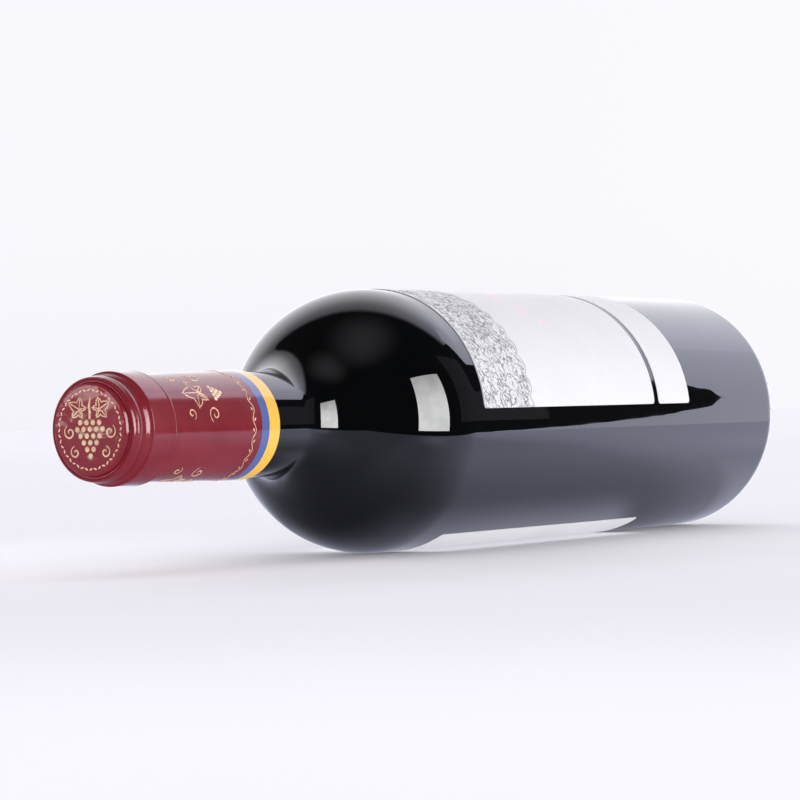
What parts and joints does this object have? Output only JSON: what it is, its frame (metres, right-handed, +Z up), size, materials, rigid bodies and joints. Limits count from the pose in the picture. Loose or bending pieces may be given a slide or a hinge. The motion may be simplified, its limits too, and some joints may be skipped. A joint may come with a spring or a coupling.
{
  "type": "wine bottle",
  "caption": "Shut straight-sided wine bottle in dark glass, lying on its side, with a foil capsule over its mouth and wrapped paper labels.",
  "frame": {"origin": "centre of the bounding box on the surface the bottle lies on, under the middle of its length", "axes": "+X along the bottle's axis from the mouth at -X to the base at +X, +Z up, the front label turned up and towards -Y"},
  "size_m": [0.3022, 0.074, 0.0742],
  "materials": {
    "dark_glass": "gloss",
    "red_foil": "satin",
    "front_paper": "matt paper",
    "back_paper": "matt paper"
  },
  "bodies": {
    "root": {"glass_bottle": "dark_glass", "capsule": "red_foil", "front_label": "front_paper", "lower_strip": "front_paper", "back_label": "back_paper"}
  },
  "joints": []
}
